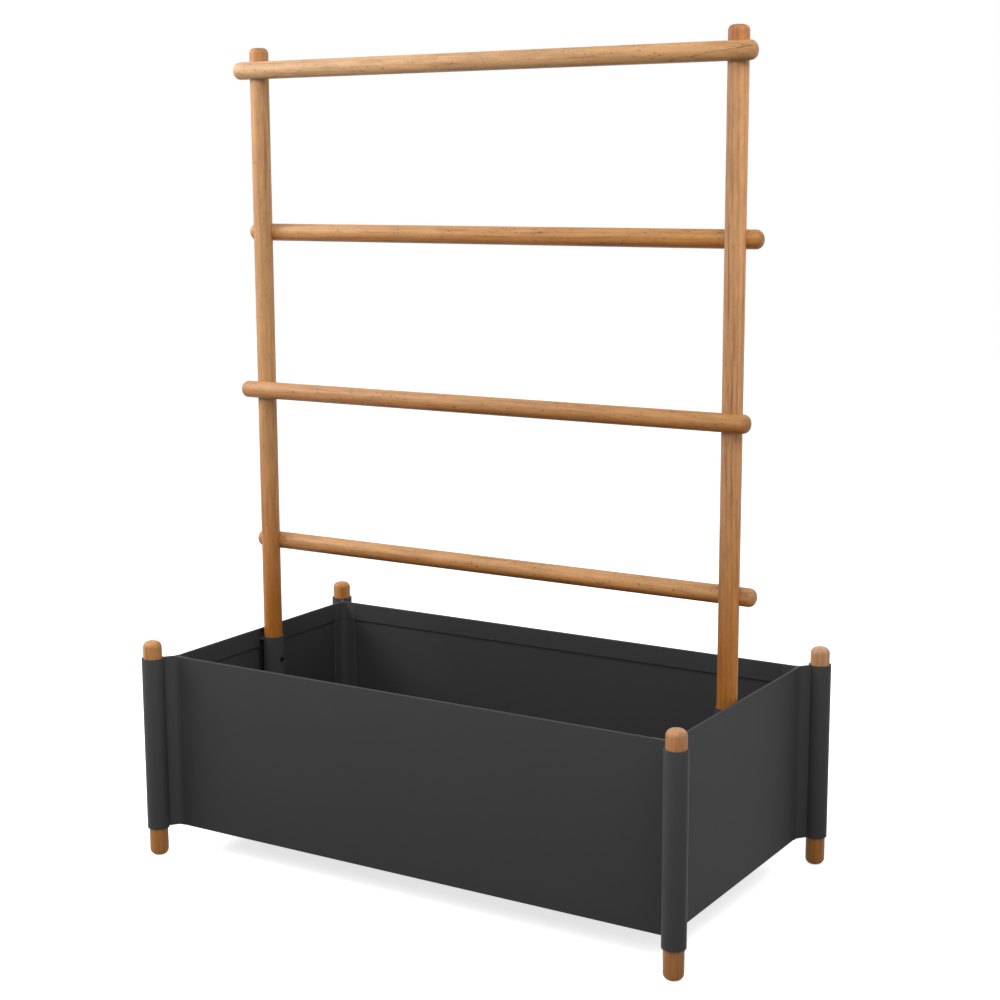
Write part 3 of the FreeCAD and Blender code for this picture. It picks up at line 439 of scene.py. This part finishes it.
def runTree(name, tree, values, start=None):
    # a plain mesh made by the tree from the start object's data
    source = bpy.data.objects.new(name + "_source", start or bpy.data.meshes.new(name + "_start"))
    bpy.context.scene.collection.objects.link(source)
    modifier = source.modifiers.new("shape", "NODES")
    modifier.node_group = tree
    keys = {item.name: item.identifier for item in tree.interface.items_tree
            if item.in_out == "INPUT"}
    for label, value in values.items():
        modifier[keys[label]] = value
    graph = bpy.context.evaluated_depsgraph_get()
    mesh = bpy.data.meshes.new_from_object(source.evaluated_get(graph))
    mesh.name = name
    bpy.data.objects.remove(source)
    return mesh


def newPiece(name, mesh):
    piece = bpy.data.objects.new(name, mesh)
    bpy.context.scene.collection.objects.link(piece)
    return piece


def prism(name, outline, along, low, high):
    # closed prism: the outline's two coordinates follow the axis it runs along, in X, Y, Z order
    axis = "XYZ".index(along)
    mesh = bpy.data.meshes.new(name)
    form = bmesh.new()
    ends = []
    for level in (low, high):
        corners = []
        for first, second in outline:
            spot = [first, second]
            spot.insert(axis, level)
            corners.append(form.verts.new(spot))
        ends.append(corners)
    count = len(outline)
    for i in range(count):
        j = (i + 1) % count
        form.faces.new((ends[0][i], ends[0][j], ends[1][j], ends[1][i]))
    form.faces.new(ends[0])
    form.faces.new(ends[1])
    bmesh.ops.recalc_face_normals(form, faces=form.faces)
    form.to_mesh(mesh)
    form.free()
    return newPiece(name, mesh)


def roundOutline(centre, radius, limit=None, steps=96):
    # a circle, or what is left of it on one side of limit = (coordinate index, value, sign)
    points = []
    for i in range(steps):
        angle = 2 * math.pi * i / steps
        point = [centre[0] + radius * math.cos(angle), centre[1] + radius * math.sin(angle)]
        points.append(point)
    if limit is None:
        return points
    which, value, sign = limit
    clipped = []
    for i, point in enumerate(points):
        following = points[(i + 1) % steps]
        inside = (point[which] - value) * sign > 0
        nextInside = (following[which] - value) * sign > 0
        if inside:
            clipped.append(point)
        if inside != nextInside:
            share = (value - point[which]) / (following[which] - point[which])
            clipped.append([a + (b - a) * share for a, b in zip(point, following)])
    return clipped


def carve(piece, cutters):
    for cutter in cutters:
        modifier = piece.modifiers.new("cut", "BOOLEAN")
        modifier.operation = "DIFFERENCE"
        modifier.solver = "EXACT"
        modifier.object = cutter
    graph = bpy.context.evaluated_depsgraph_get()
    mesh = bpy.data.meshes.new_from_object(piece.evaluated_get(graph))
    piece.modifiers.clear()
    piece.data = mesh
    for cutter in cutters:
        bpy.data.objects.remove(cutter)


def shadeSmooth(mesh, degrees=32):
    mesh.shade_smooth()
    mesh.set_sharp_from_angle(angle=math.radians(degrees))


margin = 5 * mm                 # how far a cutter stands out of the wood it cuts

joint = {
    "depth": 6.9 * mm,          # cut out of each bar where a rail crosses a post
    "gap": 0.05 * mm,           # each side of the seat
    "clear": 0.1 * mm,          # round the other bar
    "reach": 60 * mm,
}
screwHole = {"radius": 4.3 * mm, "deep": 4.2 * mm, "sides": 32}
keyway = {"width": 9 * mm, "floor": 10 * mm, "steps": 16}    # lets a post pass its socket's clamping insert

bars = {
    # heart: the tree's axis in mm from the bar's own; lean: how it runs out; tones: foot or left
    # end, then top or right end; turnAt: where one turns to the other; end: tone of the end grain;
    # tip: tint of the last 40 mm; paintedLightSide: the side painted paler, painted light standing in for
    # light from that side
    "front_left_post": {"heart": (40, 25), "lean": (0.05, 0.02, 0.4), "seed": 11.0,
                        "tones": ("A5702F", "BE8A55"), "end": 1.08, "flecks": 0.35},
    "front_right_post": {"heart": (-32, 34), "lean": (0.03, 0.06, 1.9), "seed": 23.0,
                         "tones": ("9C6A32", "B7865C"), "end": 1.12, "flecks": 0.35},
    "back_left_post": {"heart": (35, -28), "lean": (0.05, 0.02, 0.9), "seed": 31.0,
                       "tones": ("97642A", "C78A4B"), "end": 1.08, "flecks": 0.35},
    "back_right_post": {"heart": (-40, -30), "lean": (0.02, 0.04, 2.4), "seed": 47.0,
                        "tones": ("97641B", "CC9F78"), "end": 1.08, "flecks": 0.35},
    "left_trellis_post": {"heart": (48, 40), "lean": (0.022, 0.012, 0.2), "seed": 53.0,
                          "tones": ("B07029", "C69C70"), "end": 0.88, "flecks": 0.35,
                          "tip": "F3DFCC", "turnAt": (0.24, 0.52)},
    "right_trellis_post": {"heart": (-30, 52), "lean": (0.012, 0.024, 1.1), "seed": 61.0,
                           "tones": ("AE722E", "C3976D"), "figure": 1.5, "streaks": 0.5,
                           "end": 0.84, "flecks": 0.35, "tip": "E9CDB2",
                           "turnAt": (0.24, 0.5), "paintedLightSide": (0.85, 0.52, 0.0)},
    "bottom_rail": {"heart": (60, -20), "lean": (0.02, 0.014, 2.0), "seed": 71.0,
                    "tones": ("C08E5A", "BE8E5E"), "flecks": 1.0},
    "lower_rail": {"heart": (42, 50), "lean": (0.012, 0.02, 0.6), "seed": 83.0,
                   "tones": ("C09064", "AC7C49"), "flecks": 0.95},
    "upper_rail": {"heart": (-58, 22), "lean": (0.02, 0.01, 2.9), "seed": 97.0,
                   "tones": ("C89969", "AE7B42"), "flecks": 1.0},
    "top_rail": {"heart": (38, -46), "lean": (0.02, 0.02, 1.4), "seed": 101.0,
                 "tones": ("D6AE84", "B98C5A"), "flecks": 0.85, "undersideShadeStrength": 0.3,
                 "vein": ((828, -13), (985, 6))},
}
rounding = {"corner": 10.5 * mm, "trellisTop": 9 * mm, "trellisFoot": 1.5 * mm, "rail": 11 * mm}
straightRings = {"long": 40, "short": 12}
rails = ("bottom_rail", "lower_rail", "upper_rail", "top_rail")
trellisPosts = ("left_trellis_post", "right_trellis_post")


def centreOf(node):
    low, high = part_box(node)
    return (low + high) / 2


def barPlace(node):
    low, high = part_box(node)
    centre = (low + high) / 2
    if node in rails:
        return {"start": (low.x, centre.y, centre.z), "turn": (0, math.pi / 2, 0),
                "axis": (1, 0, 0), "length": high.x - low.x, "radius": (high.z - low.z) / 2}
    return {"start": (centre.x, centre.y, low.z), "turn": (0, 0, 0), "axis": (0, 0, 1),
            "length": high.z - low.z, "radius": (high.x - low.x) / 2}


def seatOf(rail):
    # the plane where the two halves of a crossing meet, and which side of it the rail is on
    side = 1 if centreOf(rail).y > 0 else -1
    postRadius = barPlace(trellisPosts[0])["radius"]
    return side * (postRadius - joint["depth"]), side


def screwCutter(rail, x):
    side = seatOf(rail)[1]
    place = barPlace(rail)
    back = place["start"][1] + place["radius"] if side > 0 else barPlace(trellisPosts[0])["radius"]
    circle = roundOutline((x, place["start"][2]), screwHole["radius"],
                          steps=screwHole["sides"])
    return prism("screw_hole", circle, "Y", back - screwHole["deep"], back + margin)


def cuttersFor(node):
    cutters = []
    if node in trellisPosts:
        post = centreOf(node)
        for rail in rails:
            seat, side = seatOf(rail)
            place = barPlace(rail)
            outline = roundOutline(place["start"][1:], place["radius"] + joint["clear"],
                                   (0, seat - side * joint["gap"], side))
            cutters.append(prism("rail_seat", outline, "X", post.x - joint["reach"],
                                 post.x + joint["reach"]))
            if side < 0:
                cutters.append(screwCutter(rail, post.x))
        clamp = centreOf("clamp_inserts").z
        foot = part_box(node)[0].z
        half = keyway["width"] / 2
        outline = [(-half, foot - margin), (half, foot - margin)]
        for i in range(keyway["steps"] + 1):
            angle = math.pi * i / keyway["steps"]
            outline.append((half * math.cos(angle), clamp + half * math.sin(angle)))
        inward = -1 if post.x > 0 else 1
        near = post.x + inward * keyway["floor"]
        far = post.x + inward * joint["reach"]
        cutters.append(prism("keyway", outline, "X", min(near, far), max(near, far)))
    if node in rails:
        seat, side = seatOf(node)
        height = centreOf(node).z
        for post in trellisPosts:
            place = barPlace(post)
            outline = roundOutline(place["start"][:2], place["radius"] + joint["clear"],
                                   (1, seat + side * joint["gap"], -side))
            cutters.append(prism("post_seat", outline, "Z", height - joint["reach"],
                                 height + joint["reach"]))
            if side > 0:
                cutters.append(screwCutter(node, place["start"][0]))
    return cutters


barTree = turnedBarTree()
for node, look in bars.items():
    place = barPlace(node)
    isRail = node in rails
    isTrellis = node in trellisPosts
    look = dict(look, **place)
    material = oiledTeak("oiled_teak_of_the_" + node, look)
    foot = rounding["rail"] if isRail else rounding["trellisFoot" if isTrellis else "corner"]
    top = rounding["rail"] if isRail else rounding["trellisTop" if isTrellis else "corner"]
    stretch = straightRings["long" if isRail or isTrellis else "short"]
    mesh = runTree(node + "_bar", barTree,
                   {"Length": place["length"], "Radius": place["radius"], "Foot Rounding": foot,
                    "Top Rounding": top, "Straight Rings": stretch,
                    "Material": material})
    turn = Matrix.Rotation(math.pi / 2, 4, "Y") if isRail else Matrix.Identity(4)
    mesh.transform(Matrix.Translation(place["start"]) @ turn)
    piece = newPiece(node + "_bar", mesh)
    cutters = cuttersFor(node)
    if cutters:
        carve(piece, cutters)
    # the cylinder's empty first slot goes, or the faces that a cut leaves would be bare
    piece.data.materials.clear()
    piece.data.materials.append(material)
    shadeSmooth(piece.data)
    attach(piece, "trellis" if isRail or isTrellis else "root")
    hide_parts(node)
print("bars done")

# metal and rubber nodes keep their shape
slotOf = {part["node"]: part["material_slot"] for part in frame["record"]["subparts"]}
for node, shape in frame["nodes"].items():
    if node in bars:
        continue
    shape.data.materials.clear()
    # the extrusions take the paler coat, which is painted light
    isProfile = node.endswith("_profile")
    shape.data.materials.append(paintedLightProfileCoat if isProfile else dressings[slotOf[node]])
print("metal done")

studio = {
    "floorColour": "767676",     # what the object's own light comes back from
    "paper": 0.9,                # seen by the camera, linear
    "floorGlow": 0.72,           # lifts the paper to white for the camera alone
    "floorReach": 9.0,           # m, each way
    "worldLight": 0.5,
    "lamps": {
        # name: (place, size, watts, aimed at)
        "front": ((0.2, -2.3, 2.2), 1.4, 25, (0.0, 0.0, 0.6)),
        "left": ((-2.0, -1.0, 1.9), 1.2, 42, (0.0, 0.0, 0.7)),
        "back": ((0.5, 2.3, 2.1), 1.4, 11, (0.0, 0.0, 0.5)),
        "right": ((1.35, -0.6, 2.1), 1.1, 15, (0.0, 0.0, 0.8)),
    },
}


def paleFloor():
    # seamless paper: white to the camera, with the object's soft shadow on it
    material = newMaterial("seamless_paper")
    tree = material.node_tree
    path = addNode(tree, "ShaderNodeLightPath")
    seen = addNode(tree, "ShaderNodeMath", {"operation": "MAXIMUM"},
                   {0: path.outputs["Is Camera Ray"], 1: path.outputs["Is Glossy Ray"]})
    paper = addNode(tree, "ShaderNodeBsdfDiffuse", {}, {"Color": toLinear(studio["floorColour"])})
    bright = addNode(tree, "ShaderNodeBsdfDiffuse", {}, {"Color": (studio["paper"],) * 3 + (1,)})
    glow = addNode(tree, "ShaderNodeEmission", {}, {"Strength": studio["floorGlow"]})
    shown = addNode(tree, "ShaderNodeAddShader", {}, {0: bright.outputs[0], 1: glow.outputs[0]})
    mixed = addNode(tree, "ShaderNodeMixShader", {},
                    {0: seen.outputs[0], 1: paper.outputs[0], 2: shown.outputs[0]})
    addNode(tree, "ShaderNodeOutputMaterial", {}, {"Surface": mixed.outputs[0]})
    return material


floorMesh = bpy.data.meshes.new("floor")
reach = studio["floorReach"]
floorMesh.from_pydata([(-reach, -reach, 0), (reach, -reach, 0), (reach, reach, 0),
                       (-reach, reach, 0)], [], [(0, 1, 2, 3)])
floorMesh.materials.append(paleFloor())
floor = newPiece("floor", floorMesh)

world = bpy.data.worlds.new("studio")
bpy.context.scene.world = world
world.use_nodes = True
sky = world.node_tree
sky.nodes.clear()
path = addNode(sky, "ShaderNodeLightPath")
seen = addNode(sky, "ShaderNodeMath", {"operation": "MAXIMUM"},
               {0: path.outputs["Is Camera Ray"], 1: path.outputs["Is Glossy Ray"]})
seen = addNode(sky, "ShaderNodeMath", {"operation": "MAXIMUM"},
               {0: seen.outputs[0], 1: path.outputs["Is Transmission Ray"]})
strength = addNode(sky, "ShaderNodeMapRange", {},
                   {"Value": seen.outputs[0], "To Min": studio["worldLight"], "To Max": 1.0})
background = addNode(sky, "ShaderNodeBackground", {},
                     {"Color": (1, 1, 1, 1), "Strength": strength.outputs[0]})
addNode(sky, "ShaderNodeOutputWorld", {}, {"Surface": background.outputs[0]})

for name, (place, size, watts, target) in studio["lamps"].items():
    lamp = bpy.data.lights.new(name, "AREA")
    lamp.size = size
    lamp.energy = watts
    holder = bpy.data.objects.new(name, lamp)
    bpy.context.scene.collection.objects.link(holder)
    holder.location = place
    holder.visible_camera = False
    aim = Vector(target) - Vector(place)
    holder.rotation_euler = aim.to_track_quat("-Z", "Y").to_euler()

view = {
    "place": (1.6266, -2.5879, 1.1652),
    "yaw": 31.5992,            # degrees to the left of +Y
    "pitch": 9.9043,           # degrees down
    "roll": -0.2092,
    "lens": 66.499,            # mm
    "sensor": 36,              # mm
}
yaw, pitch, roll = (math.radians(view[key]) for key in ("yaw", "pitch", "roll"))
forward = Vector((-math.sin(yaw) * math.cos(pitch), math.cos(yaw) * math.cos(pitch),
                  -math.sin(pitch)))
level = Vector((math.cos(yaw), math.sin(yaw), 0))
upright = level.cross(forward)
right = level * math.cos(roll) + upright * math.sin(roll)
above = upright * math.cos(roll) - level * math.sin(roll)
camera = bpy.data.objects.new("camera", bpy.data.cameras.new("camera"))
bpy.context.scene.collection.objects.link(camera)
camera.data.sensor_width = view["sensor"]
camera.data.lens = view["lens"]
turned = Matrix((right, above, -forward)).transposed().to_4x4()
camera.matrix_world = Matrix.Translation(view["place"]) @ turned
bpy.context.scene.camera = camera
bpy.context.scene.view_settings.view_transform = "Standard"
print("studio done")
